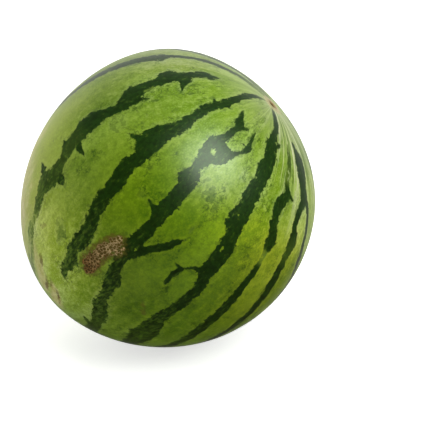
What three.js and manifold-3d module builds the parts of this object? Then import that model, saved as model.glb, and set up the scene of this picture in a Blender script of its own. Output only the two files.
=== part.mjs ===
// A whole round watermelon, resting on a small flat in its rind.
//
// Units are millimetres, +Z is up, and the origin is the middle of the flat that
// the fruit rests on. The fruit lies with the line from its stem end to its
// blossom end leaning over toward +X, blossom end up. It grew in one piece, so it
// is one solid: a slightly long ball with broad swells and hollows, a shallow
// dimple at each end, and the rest flat cut square to +Z.
import * as THREE from 'three';
import { mergeVertices } from 'three/addons/utils/BufferGeometryUtils.js';
import Module from 'manifold-3d';

const wasm = await Module();
wasm.setup();

// Driving dimensions, in millimetres and degrees.
const crossRadius = 113;      // centre to rind, square to the stem-to-blossom line
const endRadius = 115.5;      // centre to rind, along that line, before the swells
const axisLean = 44;          // how far the blossom end leans from upright, toward +X
const restFlatRadius = 17.5;  // the flat that the weight of the fruit has pressed
const facetDetail = 17;       // how finely each face of the starting icosahedron is split
const flatTolerance = 0.01;   // points this close to the ground belong to the flat

// Broad swells and hollows. Each is placed by its angle down from the blossom end
// and its angle round the fruit, from the front (-Y) toward the lower side. The
// height falls to about a third at the angle given as breadth.
const swells = [
  { name: 'flattened blossom end', down: 0, round: 0, height: -3.4, breadth: 36 },
  { name: 'blossom dimple', down: 0, round: 0, height: -1.0, breadth: 6 },
  { name: 'crown', down: 51, round: 237, height: 4.8, breadth: 32 },
  { name: 'hollow behind the crown', down: 108, round: 258, height: -0.5, breadth: 30 },
  { name: 'full stem end', down: 161, round: 320, height: 5.0, breadth: 32 },
  { name: 'stem dimple', down: 180, round: 0, height: -3.0, breadth: 9 },
];

const rind = new THREE.MeshStandardMaterial({ color: 0x6f8f33, roughness: 0.38, metalness: 0 });

// A unit direction in the fruit's own axes: x to the front, y to the lower side,
// z to the blossom end.
function fruitDirection(down, round) {
  const polar = THREE.MathUtils.degToRad(down);
  const turn = THREE.MathUtils.degToRad(round);
  return new THREE.Vector3(
    Math.sin(polar) * Math.cos(turn),
    Math.sin(polar) * Math.sin(turn),
    Math.cos(polar),
  );
}

// Centre-to-rind distance along a unit direction in the fruit's own axes.
function rindRadius(direction) {
  const along = direction.z / endRadius;
  const across = Math.hypot(direction.x, direction.y) / crossRadius;
  let radius = 1 / Math.hypot(along, across);
  for (const swell of swells) {
    const centre = fruitDirection(swell.down, swell.round);
    const sharpness = 1 / (1 - Math.cos(THREE.MathUtils.degToRad(swell.breadth)));
    radius += swell.height * Math.exp(sharpness * (direction.dot(centre) - 1));
  }
  return radius;
}

// Turns the fruit's own axes into the part's: front to -Y, and the blossom end
// up and over toward +X.
function fruitAxes() {
  const lean = THREE.MathUtils.degToRad(axisLean);
  const front = new THREE.Vector3(0, -1, 0);
  const blossom = new THREE.Vector3(Math.sin(lean), 0, Math.cos(lean));
  const lowerSide = new THREE.Vector3().crossVectors(blossom, front);
  return new THREE.Matrix4().makeBasis(front, lowerSide, blossom);
}

// The whole fruit around its own centre, as a closed mesh of nearly equal facets.
function rindGeometry() {
  const geometry = new THREE.IcosahedronGeometry(1, facetDetail);
  geometry.deleteAttribute('normal');
  geometry.deleteAttribute('uv');
  const position = geometry.getAttribute('position');
  const direction = new THREE.Vector3();
  for (let i = 0; i < position.count; i += 1) {
    direction.fromBufferAttribute(position, i).normalize();
    direction.multiplyScalar(rindRadius(direction));
    position.setXYZ(i, direction.x, direction.y, direction.z);
  }
  geometry.applyMatrix4(fruitAxes());
  return mergeVertices(geometry, 1e-3);
}

function toSolid(geometry) {
  return new wasm.Manifold(new wasm.Mesh({
    numProp: 3,
    vertProperties: new Float32Array(geometry.getAttribute('position').array),
    triVerts: new Uint32Array(geometry.getIndex().array),
  }));
}

function toGeometry(solid) {
  const mesh = solid.getMesh();
  const geometry = new THREE.BufferGeometry();
  geometry.setAttribute('position', new THREE.BufferAttribute(mesh.vertProperties, 3));
  geometry.setIndex(new THREE.BufferAttribute(mesh.triVerts, 1));
  geometry.computeVertexNormals();
  return geometry;
}

// Sets the fruit down: its lowest point is pressed below the ground plane by as
// much as the rest flat takes away.
function settleOnGround(geometry) {
  geometry.computeBoundingBox();
  const pressed = crossRadius - Math.sqrt(crossRadius ** 2 - restFlatRadius ** 2);
  return geometry.translate(0, 0, -geometry.boundingBox.min.z - pressed);
}

// Moves the cut fruit sideways until the middle of its flat is at the origin.
function centreOnFlat(geometry) {
  const position = geometry.getAttribute('position');
  const flat = new THREE.Box3();
  const point = new THREE.Vector3();
  for (let i = 0; i < position.count; i += 1) {
    point.fromBufferAttribute(position, i);
    if (point.z < flatTolerance) {
      flat.expandByPoint(point);
    }
  }
  const middle = flat.getCenter(point);
  return geometry.translate(-middle.x, -middle.y, 0);
}

// Everything below the ground plane, cut away to leave the flat.
function groundGeometry() {
  const reach = 4 * crossRadius;
  const geometry = new THREE.BoxGeometry(reach, reach, reach);
  geometry.deleteAttribute('normal');
  geometry.deleteAttribute('uv');
  geometry.translate(0, 0, -reach / 2);
  return mergeVertices(geometry);
}

function makeWatermelon() {
  const whole = toSolid(settleOnGround(rindGeometry()));
  const settled = whole.subtract(toSolid(groundGeometry()));
  const mesh = new THREE.Mesh(centreOnFlat(toGeometry(settled)), rind);
  mesh.name = 'watermelon';
  return mesh;
}

const group = new THREE.Group();
group.add(makeWatermelon());

export default group;
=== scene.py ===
"""A whole round watermelon, resting on a pale floor in soft studio light.

The fruit grew in one piece, so it is one piece here. It starts as a finely split
unit ball, carrying the marks of the rind as values on its points. A node tree
grows the ball to size, with its swells, hollows and scars, and the result is set
down where the solid model lies.

Places on the rind are given as two angles: down from the blossom end, 0 to 180 at
the stem end, and round the fruit from its front, growing toward its lower side.
"""
import math

import bmesh
import bpy
import numpy as np
from mathutils import Matrix, Vector, noise


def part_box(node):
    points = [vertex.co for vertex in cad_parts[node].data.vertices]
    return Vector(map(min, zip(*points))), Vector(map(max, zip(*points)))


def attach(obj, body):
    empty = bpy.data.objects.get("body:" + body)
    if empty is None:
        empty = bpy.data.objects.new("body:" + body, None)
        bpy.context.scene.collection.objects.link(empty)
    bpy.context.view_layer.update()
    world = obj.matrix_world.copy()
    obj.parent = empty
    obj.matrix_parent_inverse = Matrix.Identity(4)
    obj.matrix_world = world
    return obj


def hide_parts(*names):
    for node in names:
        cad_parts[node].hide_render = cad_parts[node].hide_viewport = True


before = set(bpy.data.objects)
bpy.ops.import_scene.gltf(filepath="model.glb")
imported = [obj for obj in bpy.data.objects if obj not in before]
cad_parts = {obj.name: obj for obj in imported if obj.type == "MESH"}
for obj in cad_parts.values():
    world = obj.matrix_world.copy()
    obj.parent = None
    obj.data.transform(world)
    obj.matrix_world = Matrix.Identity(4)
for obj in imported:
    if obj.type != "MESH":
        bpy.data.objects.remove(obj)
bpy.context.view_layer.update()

MM = 0.001

# ---------------------------------------------------------------- the fruit

CROSS_RADIUS = 113.0    # mm, centre to rind, square to the stem-to-blossom line
END_RADIUS = 115.5      # mm, centre to rind along that line, before the swells
AXIS_LEAN = 44.0        # degrees that the blossom end leans from upright, toward +X
UNEVENNESS = 0.45       # mm, height of the small lumps all over
UNEVENNESS_SEED = 4.0
PRESS_SOFTNESS = 0.35   # mm over which the rest flat rounds into the rind
BALL_CUTS = 110         # cuts along each edge of the cube that the ball starts from

# Broad swells and hollows: degrees down and round, height in mm, and breadth in
# degrees, where the height has fallen to about a third.
SWELLS = {
    "flattened blossom end": (0, 0, -3.4, 36),
    "blossom dimple": (0, 0, -1.0, 6),
    "crown": (51, 237, 4.8, 32),
    "hollow behind the crown": (108, 258, -0.5, 30),
    "full stem end": (161, 320, 5.0, 32),
    "stem dimple": (180, 0, -3.0, 9),
}

# ---------------------------------------------------------------- the markings

# Dark stripes of the side that faces front. Each line of points is one stripe or
# branch: degrees down, degrees round, full width in mm, and, where the stripe is
# faint, how dark it is from 0 to 1.
STRIPES = [
    # hugs the fruit's far upper left
    [(3, -160, 3, 0.6), (7, -147, 8, 0.7), (12, -131, 8, 0.8), (16, -126, 7, 0.9),
     (26, -118, 7), (34, -115, 7), (42, -113.5, 6), (54, -114, 7), (68, -115, 9),
     (82, -117, 8), (96, -120, 9), (110, -121, 8, 0.8), (124, -119, 7, 0.5),
     (140, -116, 5, 0.3)],
    # far left
    [(2.5, -118, 4, 0.6), (8, -108, 7, 0.68), (14, -103.5, 7, 0.78), (20, -100.5, 6, 0.9),
     (30, -98, 6), (36, -96.5, 5), (44, -94.8, 6), (48, -93.5, 11), (52, -93.5, 10),
     (58, -93.5, 9), (66, -93.5, 9), (75, -93.5, 9), (84, -95, 8), (93, -95.5, 7, 0.85),
     (104, -96, 7, 0.7), (116, -97, 6, 0.5), (130, -98, 5, 0.35)],
    [(47.5, -91, 4), (47, -88, 1)],
    # left
    [(26.3, -71.5, 1.2), (28, -71.8, 3), (30.5, -73, 6), (34, -73.3, 7.5),
     (38, -72.3, 6.5), (42, -72, 9), (45, -72.3, 12.5), (48, -71.3, 11), (51, -69.8, 8.3),
     (55, -69, 7.5), (58, -68.7, 8.5), (60.5, -66.5, 15.7), (64, -64, 13.5),
     (67, -63, 10), (70, -63, 7), (74, -63.7, 9.5), (78, -64.6, 15), (82, -64.1, 16, 0.9),
     (86, -62.8, 13.5, 0.86), (89, -62, 12.5, 0.85), (92, -61.6, 12, 0.84),
     (95, -60, 8, 0.84), (98, -59.6, 8.4, 0.84), (101, -57.8, 15.2, 0.85),
     (104, -58, 14.5, 0.85), (107, -60, 16, 0.85), (109.5, -60.5, 12.5, 0.85),
     (112, -59, 9, 0.85), (116, -57.3, 9.5, 0.85), (118.5, -56.3, 8, 0.8), (121, -55.7, 6, 0.65),
     (125, -55, 6, 0.58), (129, -55.3, 9, 0.68), (132, -54.3, 8, 0.66), (136, -51, 10, 0.72),
     (141, -52, 10, 0.6), (147, -50, 10, 0.66), (158, -46, 5, 0.5)],
    [(30, -70.5, 5), (31, -68.3, 1.2)],
    [(40, -69.5, 9), (41.5, -65.3, 4.6), (43.2, -61, 1.8), (43.6, -59, 0.8)],
    [(45, -76, 3), (45, -78, 0.8)],
    [(49, -68, 4), (50, -66.5, 2)],
    [(53, -66.3, 2, 0.6), (55, -65.7, 3.4, 0.75), (57, -66, 2, 0.6)],
    [(60, -62.5, 5), (57.7, -61.2, 2.6), (55.8, -60.4, 1)],
    [(60.5, -71.5, 2), (61, -72.3, 0.8)],
    [(87.6, -58.5, 5), (87.2, -56, 3.3), (87, -53.8, 1.3)],
    [(92, -65.5, 3), (92.2, -67, 0.8)],
    [(100.5, -54, 8), (100.5, -51.5, 2)],
    [(106, -65, 7), (105.7, -68, 3), (105.6, -69.5, 0.8)],
    # left of the middle, ending beside the corky scar
    [(3.5, -58, 1.2, 0.6), (6, -57, 2, 0.7), (9, -55, 3, 0.85), (13, -52.5, 4.2),
     (17, -50, 4.8), (21, -47.3, 4.8), (25, -44.5, 5.5), (30, -42.9, 6.5), (35, -43.2, 6.3),
     (40, -42.8, 6.8), (44, -41.5, 6), (47, -40.7, 5.8), (50, -40, 8), (54, -39.9, 10),
     (57.5, -40.7, 12.5), (62, -41.2, 16), (66, -41, 16.5), (69, -38.4, 10),
     (72, -38.2, 10), (75.5, -38.7, 11.5), (79, -37.5, 11), (82, -36.4, 12), (86, -35.9, 10.5),
     (90, -35.2, 10.5), (95, -34.1, 10), (100, -32, 10.3), (104, -30.7, 11), (107, -30.2, 11.5),
     (109, -29.9, 11.3), (111, -31, 8), (114, -30.3, 8), (117, -28.6, 10), (120, -27.9, 9),
     (124, -28, 7.5), (126.5, -26.3, 4.5), (128, -24.8, 1.5)],
    [(30, -39.5, 2), (30, -37.5, 0.8)],
    [(34, -46, 3), (33.7, -48.5, 1)],
    [(66.5, -44.5, 8), (68, -47, 3), (68.8, -49, 1)],
    [(117, -25.5, 3), (117.5, -24, 1)],
    # middle, forked at the top and running on under the fruit
    [(24.8, -31.7, 1.2), (27, -29, 2.6), (29.5, -26.2, 4.2), (31.5, -23.5, 7.5),
     (34, -22.8, 4.6), (37, -23, 4.5), (40.5, -22.5, 5.5), (43, -23.5, 8),
     (45.5, -24.5, 9), (48, -24.2, 8), (50.5, -22.2, 10.5), (52, -21.1, 10.5),
     (54, -21.1, 8), (56, -21.2, 7), (57.5, -20.8, 6.5), (59, -20.3, 8),
     (61, -19.6, 12), (63, -19.1, 12.7), (65, -17.9, 10.3),
     (68, -17.5, 10), (72, -17, 10.5), (76, -17.4, 10.5), (80, -16.4, 9.7),
     (84, -16, 8.7), (88, -15.9, 8.5), (91, -16.3, 9.5), (94, -16.5, 10.5), (97, -15.4, 9.5),
     (100, -15.2, 8), (103, -13.8, 6.5), (106, -13.3, 8), (108.5, -11.5, 11),
     (110.5, -10.5, 11), (113, -9.5, 8), (116, -8.5, 7.3), (120, -7.4, 8),
     (124, -5.7, 10), (127, -3, 12, 0.93), (130, -0.8, 11.5, 0.9), (134, 1.7, 9, 0.88),
     (138, 4, 8.5, 0.88), (143, 7.5, 9), (150, 13, 9), (160, 22, 6), (168, 35, 3)],
    [(31.5, -20.5, 4), (30.3, -18, 2), (29.6, -16.5, 0.8)],
    [(30.5, -24, 2), (28, -23.3, 0.8)],
    [(45, -20, 9), (45.2, -16.5, 9.5), (44.8, -14.3, 6), (42.4, -12.3, 2.8),
     (40, -10.4, 2.6), (37, -8.4, 4.4), (34, -9.5, 3), (31, -10.5, 2.2), (28, -11.2, 1)],
    [(51.2, -21, 6), (50.4, -18, 6), (48.6, -16, 6.5), (46.5, -15, 6)],
    [(36.8, -11, 2), (36.8, -13.3, 0.8)],
    [(62.5, -22.5, 4), (63.7, -24, 1)],
    [(72, -14.5, 2.5), (72.2, -13.3, 1)],
    [(77.8, -19.5, 5), (77.8, -22.3, 2.2), (77.5, -24, 0.8)],
    [(95.5, -12.8, 5), (91.7, -11.2, 5.7), (89.2, -9.7, 5), (86.3, -8, 4.8), (83, -6.3, 5),
     (80.3, -4.8, 3.3), (78.3, -3.8, 1.3)],
    [(106, -14.5, 3), (106, -16, 1)],
    [(141, 2.5, 5), (139.5, -1.5, 4), (138.5, -4, 1)],
    # right of the middle, broad, running from end to end
    [(3, -12, 1.2, 0.6), (6, -1, 2.6, 0.8), (10, 5, 4.3), (14, 8, 4.8), (18, 8, 5),
     (22, 7, 6), (25, 6, 8), (28, 6.4, 10.5), (32, 7.2, 10.5), (34.5, 7.8, 9),
     (37, 7.1, 11.5), (40, 7.1, 11.7), (43.5, 7.7, 9.8), (47, 7.4, 12.3), (50, 7, 13),
     (53, 7.5, 11.2), (56.5, 7.9, 12.5), (59, 7.3, 13.5), (62, 7.3, 14), (65, 8.9, 12),
     (68, 9.8, 12), (72, 10.8, 12), (76, 11, 13.7), (80, 11, 12), (83, 11, 11),
     (86, 12.7, 9), (89, 14, 8.4), (93, 14, 8), (100, 14, 8), (107, 14, 9),
     (113, 15, 12), (119, 18, 17), (125, 20.5, 18), (130, 23.5, 14), (136, 28, 10),
     (144, 36, 9), (155, 50, 6), (165, 65, 4)],
    [(26.5, 11.5, 3), (25, 14, 2.5), (23.5, 15.5, 1)],
    [(31.8, 12, 1.5), (31, 15, 0.8)],
    [(26, 1, 2), (25.5, -0.5, 0.8)],
    [(83.5, 8.5, 3.2), (84.3, 6, 2.4), (86.6, 3.9, 2.2), (88.5, 2.7, 4.6),
     (91.5, 2.5, 3.7), (94.7, 2.9, 3), (96.2, 3.3, 1.3)],
    [(87.5, 1.5, 3), (87.3, -0.5, 0.8)],
    [(124.5, 15, 4), (125.2, 13.2, 1)],
    # right, broken and thin
    [(21, 28, 1.5, 0.6), (25, 28.5, 3.5, 0.75), (29, 28.6, 4, 0.8), (33, 28, 4, 0.7),
     (36.5, 27.5, 4, 0.7), (39.5, 28.3, 5, 0.95), (42, 29, 7.5), (44.5, 26.9, 9),
     (47, 24.7, 9.5), (49.5, 24.7, 9), (52, 25.4, 8), (54.5, 26, 7.5), (57, 27.7, 6.5),
     (59, 28.7, 8.7), (61.3, 28.3, 10.3), (63, 27.7, 5.5, 0.85), (66, 29, 3, 0.6),
     (69, 28.9, 4, 0.7), (72, 28.8, 5.5), (80, 29, 6), (90, 30, 8), (102, 32, 9), (115, 36, 8),
     (130, 43, 8), (145, 55, 6), (156, 70, 4)],
    [(41.5, 31.5, 3), (42.5, 35, 1.5)],
    # far right, forked
    [(19, 42, 3), (22, 44, 6), (25.5, 47.7, 12.7), (28.5, 47.2, 13.2), (32, 47.2, 13),
     (35, 47.8, 11.5), (38, 48.2, 12), (41, 49, 11)],
    [(41, 48, 8), (43.5, 45.8, 7.3), (46, 43.3, 6.5), (50, 42.3, 6.5), (53, 42.8, 7),
     (56, 44, 9.5, 0.9), (58.5, 44.3, 11, 0.84), (62, 43.3, 8.5, 0.82),
     (66, 43.3, 8, 0.85), (70, 43.5, 9),
     (80, 45, 9), (92, 47, 9), (106, 50, 8), (120, 55, 8), (136, 64, 7),
     (150, 78, 5)],
    [(40, 50.5, 7), (44, 54.5, 5), (48, 56.3, 4.5), (53, 57.4, 5), (58, 58.3, 6.5),
     (64, 59.5, 6.5), (74, 63, 7), (88, 66, 8), (104, 70, 8), (120, 76, 7),
     (138, 88, 6)],
]

# Faint smudges, the same way.
STRIPES += [
    [(9, -42, 2, 0.4), (10.5, -37, 4, 0.55), (12.5, -33, 3, 0.45)],
    [(15.5, -12, 2, 0.4), (19, -13, 4, 0.55), (23, -16, 3, 0.45)],
    [(68, -56, 2, 0.35), (69, -54, 2.5, 0.4), (71, -53.8, 2.5, 0.4), (72.3, -55.5, 2, 0.35),
     (72, -57.8, 2.5, 0.4), (70, -59, 2, 0.35), (68.4, -58, 2, 0.35), (68, -56, 2, 0.35)],
    [(58.3, -9.6, 1.6, 0.5), (59.5, -8.6, 3.4, 0.66), (60.6, -9.6, 3, 0.62), (61.6, -11, 1.5, 0.5)],
    [(60.8, -7.6, 1.8, 0.6), (61.9, -6.4, 2.6, 0.68), (62.6, -7, 1.5, 0.6)],
    [(61.6, -4.6, 1.6, 0.55), (62.8, -3.4, 2.8, 0.66), (64.3, -3.6, 2, 0.62), (66, -2.6, 1.4, 0.5)],
    [(55.5, -5, 1.5, 0.7), (56.4, -4.8, 1.5, 0.7)],
    [(45.3, -1.9, 1.2, 0.7), (47.5, -1.9, 1.5, 0.7)],
    [(57.4, -13.4, 1.4, 0.6), (58.6, -14.2, 1.8, 0.65)],
    [(72, -4.6, 1.4, 0.6), (74, -4.8, 2.2, 0.7), (75.5, -4.4, 1.3, 0.6)],
    [(69.2, -33.6, 1.8, 0.65), (70, -32.6, 2.8, 0.75)],
    [(77.5, -27.5, 2.5, 0.45), (78.3, -26.2, 3.5, 0.55)],
    [(111, -42, 3, 0.4), (113.5, -39, 7, 0.5), (116, -37.5, 4, 0.4)],
]

# Pale islands inside the stripes: degrees down and round, and radius in mm.
PALE_ISLANDS = [(48.4, -20.4, 2.8), (60, 6.8, 2), (72.2, 9.6, 1.9)]

# The stripes of the far side follow the same habit, and are grown by rule.
GROWN_STRIPES_ROUND = (88, 111, 134, 157, 180, 203, 224)
GROWN_STEP = 3.6        # degrees down between the points of one
GROWN_WIDTH = 9.5       # mm at its widest, before its knots
SPUR_CHANCE = 0.34      # that a short branch leaves it at a point
GROWN_SEED = 11

# The corky scar, as a line of points like a stripe's, and its small neighbour.
CORKY_SCAR = [
    [(95, -20, 3), (97, -20.2, 8), (99, -20.3, 10.5), (101.5, -20.8, 10.5),
     (104.5, -21.6, 9), (107.5, -22, 9.5), (110, -21.6, 12), (112.5, -21.2, 12.5),
     (114.3, -20.8, 6)],
    [(97.5, -17.6, 3), (99, -17, 4.5), (100.5, -17.5, 3)],
]

# Small brown marks, such as an insect leaves.
BROWN_MARKS = [
    [(96, -22.6, 3, 0.3), (99, -23.6, 3.5, 0.38), (103, -24.6, 3.5, 0.38), (107, -25, 3, 0.3)],
    [(102, -18.6, 3, 0.35), (105.5, -18.6, 4, 0.45), (109, -18.2, 4, 0.45), (111, -18, 2, 0.3)],
    [(108.5, 4, 2, 0.4), (109.5, 5.2, 3, 0.4)],
    [(111, 6.5, 2, 0.4), (112, 7.8, 4, 0.4), (112.5, 9, 2, 0.4)],
    [(118, -47, 2, 0.3), (120.5, -49, 3, 0.4)],
    [(131.5, -43, 3, 0.4), (133.8, -41, 4.5, 0.7), (135.5, -39.5, 2, 0.5)],
    [(137, -36, 2, 0.3), (139, -33, 2.5, 0.5), (142, -32, 3.5, 0.75), (146, -31.5, 3, 0.6)],
    [(137.5, -30, 2, 0.4), (139.6, -29, 2.8, 0.6), (141, -29.5, 2, 0.4)],
    [(138.5, -25, 1.2, 0.5), (141.5, -21.8, 2.5, 0.85), (144, -20, 1.8, 0.85), (147, -19, 1, 0.6)],
]

# Cream patches at the edge of the spot where the fruit lay.
CREAM_MARKS = [
    [(131, -50, 4, 0.5), (136, -45, 12, 0.85), (141, -39, 15, 0.95), (146, -35, 12, 0.9)],
    [(138.5, -28, 4, 1), (141, -25, 8, 1), (145, -21.5, 10, 1), (149, -20, 9, 0.85)],
]

# Where dark threads and specks gather in the pale rind.
NETTED_PLACES = [
    [(60, -11, 9), (61, -6, 12), (65, -3, 8)],
    [(17, -14, 5), (21, -18, 7), (24, -10, 5)],
    [(34, -16, 8), (40, -17, 8)],
    [(38, -60, 10), (46, -62, 12), (54, -60, 8)],
    [(69, -57, 9), (71, -58, 6)],
    [(66, -34, 6), (69, -33, 6)],
    [(31, -4, 5), (44, -2, 6), (46, -1, 4)],
    [(42, 14, 6), (49, 14, 8)],
    [(50, 18, 5), (56, 17, 6)],
    [(72, 3, 6), (78, -1, 5)],
    [(88, -10, 5), (91, -7, 6)],
    [(62, 19, 6), (70, 20, 6)],
]

# Broad changes of the rind's colour, part of them painted light, shade, sheen and reflection that stand
# in for the lamps:
# degrees down and round, how far the change reaches in degrees, and what it multiplies red, green and
# blue by.
TONES_AND_PAINTED_LIGHT = [
    # darker and less blue on the side that faces front, most of all low down: partly the rind's own
    # deeper green, partly painted shade
    (98, -28, 60, 0.80, 0.80, 0.28),
    (97, 14, 40, 0.74, 0.79, 0.12),
    (78, 5, 32, 0.95, 0.98, 0.12),
    (76, -27, 22, 0.92, 0.97, 0.50),
    # more yellow toward the right: painted yellow bounce light from a slice of melon that lay beside the
    # fruit there
    (78, 40, 36, 1.19, 0.98, 0.35),
    (64, 19, 17, 1.16, 1.08, 0.55),
    (68, 31, 14, 0.90, 0.92, 0.60),
    # paler where the sheen falls in the middle, over the top toward the blossom end, and at the right
    # edge: partly the rind's own colour, partly painted sheen, painted light from above and a painted
    # reflection at the edge
    (58, -18, 36, 1.08, 1.08, 1.30),
    (54, -9, 17, 1.12, 1.05, 1.60),
    (25, -60, 48, 1.20, 1.16, 1.6),
    (46, 34, 34, 1.32, 1.22, 1.7),
    (46, 66, 30, 1.60, 1.38, 2.6),
    (45, 92, 24, 1.42, 1.32, 1.60),
    # greyer over the top: mostly a painted reflection of the pale room at that edge
    (40, -98, 26, 1.10, 0.92, 1.9),
    (76, -92, 38, 0.80, 0.74, 0.95),
    (62, -82, 16, 1.12, 1.08, 1.15),
    (70, -108, 22, 1.16, 1.06, 1.6),
    # paler toward the soil: partly the rind's own paleness there, partly painted light where the lamps
    # reach that side little
    (98, -96, 44, 1.28, 1.22, 1.2),
    (88, -61, 25, 1.14, 1.12, 1.5),
    (128, -39, 40, 2.32, 1.95, 6.0),
    (127, -59, 25, 1.24, 1.17, 1.65),
    (132, -47, 25, 1.30, 1.24, 1.50),
]

# Where the fruit lay on the soil: degrees down and round, and radius in degrees.
GROUND_SPOT = (129, -99, 32)

# The streaks from the blossom end are strongest on the side that this points to, a
# direction across the fruit between its front and its lower side.
STREAKY_SIDE = (0.57, 0.82, 0.0)

# Raised and sunken rings at the dry scars of both ends: mm out from the end, height in
# mm and breadth in mm.
BLOSSOM_RELIEF = ((0.0, -1.3, 2.2), (5.0, 0.5, 2.0))
STEM_RELIEF = ((6.5, 1.0, 1.8), (0.0, -1.6, 4.0))

# The colours of those scars in rings: mm out, colour, and how strongly it covers.
BLOSSOM_RINGS = ((9.5, "#cdbb8a", 0.6), (5.0, "#a08050", 0.8), (2.6, "#3c2c12", 0.9))
STEM_RINGS = ((13.0, "#a3ab62", 0.5), (8.0, "#b79a66", 0.95), (4.5, "#6e5230", 0.9),
              (2.2, "#38260f", 0.95))

CORK_CELL = 2.1         # mm across one mesh of the corky net
CORK_RIDGE = 0.16       # half the width of its ridges, as a share of a mesh


def srgb(code):
    """Linear colour, with alpha, from an sRGB hex value."""
    channels = [int(code[i:i + 2], 16) / 255 for i in (1, 3, 5)]
    linear = [c / 12.92 if c <= 0.04045 else ((c + 0.055) / 1.055) ** 2.4 for c in channels]
    return (*linear, 1.0)


def add(tree, kind, inputs=None, **settings):
    """Adds one node with its settings, and fills or links its inputs."""
    made = tree.nodes.new(kind)
    for name, value in settings.items():
        setattr(made, name, value)
    for key, value in (inputs or {}).items():
        if isinstance(key, int):
            socket = made.inputs[key]
        else:
            socket = next(s for s in made.inputs if s.enabled and s.name == key)
        if isinstance(value, bpy.types.Node):
            value = next(s for s in value.outputs if s.enabled)
        if isinstance(value, bpy.types.NodeSocket):
            tree.links.new(value, socket)
        else:
            socket.default_value = value
    return made


# ---------------------------------------------------------------- the unit ball


def directions(down, around):
    """Unit directions in the fruit's own axes: front, lower side, blossom end."""
    polar = np.radians(down)
    turn = np.radians(around)
    return np.stack([np.sin(polar) * np.cos(turn), np.sin(polar) * np.sin(turn),
                     np.cos(polar)], axis=-1)


def unit_ball():
    """A ball of nearly equal squares, split finer at the scar and both ends."""
    ball = bmesh.new()
    bmesh.ops.create_cube(ball, size=2)
    bmesh.ops.subdivide_edges(ball, edges=ball.edges, cuts=BALL_CUTS, use_grid_fill=True)
    for vert in ball.verts:
        vert.co = Vector([math.tan(c * math.pi / 4) for c in vert.co]).normalized()
    for _ in range(2):
        edges = [e for e in ball.edges if needs_detail((e.verts[0].co + e.verts[1].co) / 2)]
        bmesh.ops.subdivide_edges(ball, edges=edges, cuts=1, use_grid_fill=True)
    for vert in ball.verts:
        vert.co.normalize()
    return ball


SCAR_MIDDLE = Vector(directions(105, -20.5))
SCAR_REACH = math.radians(15)
END_REACH = math.radians(7)


def needs_detail(place):
    """Whether a place on the unit ball is at the corky scar or at an end."""
    if place.angle(SCAR_MIDDLE) < SCAR_REACH:
        return True
    height = abs(place.z) / place.length
    return height > math.cos(END_REACH)


# ---------------------------------------------------------------- marks as values


def smooth_line(points):
    """Fills in a line of (down, round, width, darkness) points along a curve."""
    full = [(*p, 1.0)[:4] for p in points]
    rows = np.array([full[0], *full, full[-1]], dtype=float)
    steps = np.linspace(0, 1, 4, endpoint=False)
    out = []
    for a, b, c, d in zip(rows, rows[1:], rows[2:], rows[3:]):
        for t in steps:
            out.append(0.5 * (2 * b + (c - a) * t + (2 * a - 5 * b + 4 * c - d) * t ** 2
                              + (3 * b - a - 3 * c + d) * t ** 3))
    out.append(rows[-1])
    return np.array(out)


def line_field(places, lines):
    """For each place: mm inside the edge of the nearest line, its half width, its darkness."""
    inside = np.full(len(places), -1000.0)
    halves = np.zeros(len(places))
    darkness = np.zeros(len(places))
    for line in lines:
        rows = smooth_line(line)
        ends = directions(rows[:, 0], rows[:, 1]) * CROSS_RADIUS
        near = np.abs(places - ends.mean(0)).max(1) < 40 + np.ptp(ends, axis=0).max()
        index = np.nonzero(near)[0]
        spot = places[index]
        best = inside[index]
        half = halves[index]
        tone = darkness[index]
        for start, stop, first, last in zip(ends, ends[1:], rows, rows[1:]):
            way = stop - start
            t = np.clip((spot - start) @ way / max(way @ way, 1e-9), 0, 1)
            gap = np.linalg.norm(spot - start - t[:, None] * way, axis=1)
            reach = (first[2] + (last[2] - first[2]) * t) / 2
            closer = reach - gap > best
            best = np.where(closer, reach - gap, best)
            half = np.where(closer, reach, half)
            tone = np.where(closer, first[3] + (last[3] - first[3]) * t, tone)
        inside[index] = best
        halves[index] = half
        darkness[index] = tone
    return inside, halves, darkness


def leave_islands(places, inside):
    """Takes the pale islands out of the stripes."""
    for down, around, radius in PALE_ISLANDS:
        gap = np.linalg.norm(places - directions(down, around) * CROSS_RADIUS, axis=1)
        inside = np.minimum(inside, gap - radius)
    return inside


def grown_stripes():
    """Stripes of the far side: wandering lines with knots and short spurs."""
    rng = np.random.default_rng(GROWN_SEED)
    lines = []
    for order, around in enumerate(GROWN_STRIPES_ROUND):
        first = 9 if order % 2 else rng.uniform(20, 30)
        last = rng.uniform(148, 168)
        down = np.arange(first, last, GROWN_STEP)
        sway = rng.uniform(0, 2 * np.pi, 4)
        knots = rng.uniform(0.55, 1.5, len(down))
        wander = (3.0 * np.sin(down / 17 + sway[0]) + 1.6 * np.sin(down / 7.5 + sway[1])
                  + 0.7 * np.sin(down / 3.1 + sway[2]))
        body = np.clip(GROWN_WIDTH * np.sin(np.radians(down)) ** 0.6, 2.5, None)
        swell = 1 + 0.28 * np.sin(down / 6.1 + sway[3])
        width = body * swell * knots ** 0.6
        ends = np.minimum(1, np.minimum(down - first, last - down) / 12 + 0.25)
        rows = list(zip(down, around + wander, width * ends))
        lines.append(rows)
        for row in rows[2:-2]:
            if rng.random() < SPUR_CHANCE:
                lines.append(spur(row, rng))
    return lines


def spur(root, rng):
    """A short pointed branch that leaves a stripe at one of its points."""
    side = rng.choice((-1, 1))
    lift = rng.choice((-1, 1)) * rng.uniform(0.3, 1.6)
    reach = rng.uniform(3.0, 7.5)
    bend = rng.uniform(-0.8, 0.8)
    rows = []
    for share, width in ((0.3, 0.6), (0.65, 0.3), (1.0, 0.08)):
        down = root[0] + lift * share * reach + bend * share
        around = root[1] + side * share * reach / math.sin(math.radians(root[0]))
        rows.append((down, around, max(0.8, root[2] * width)))
    return rows


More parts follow.
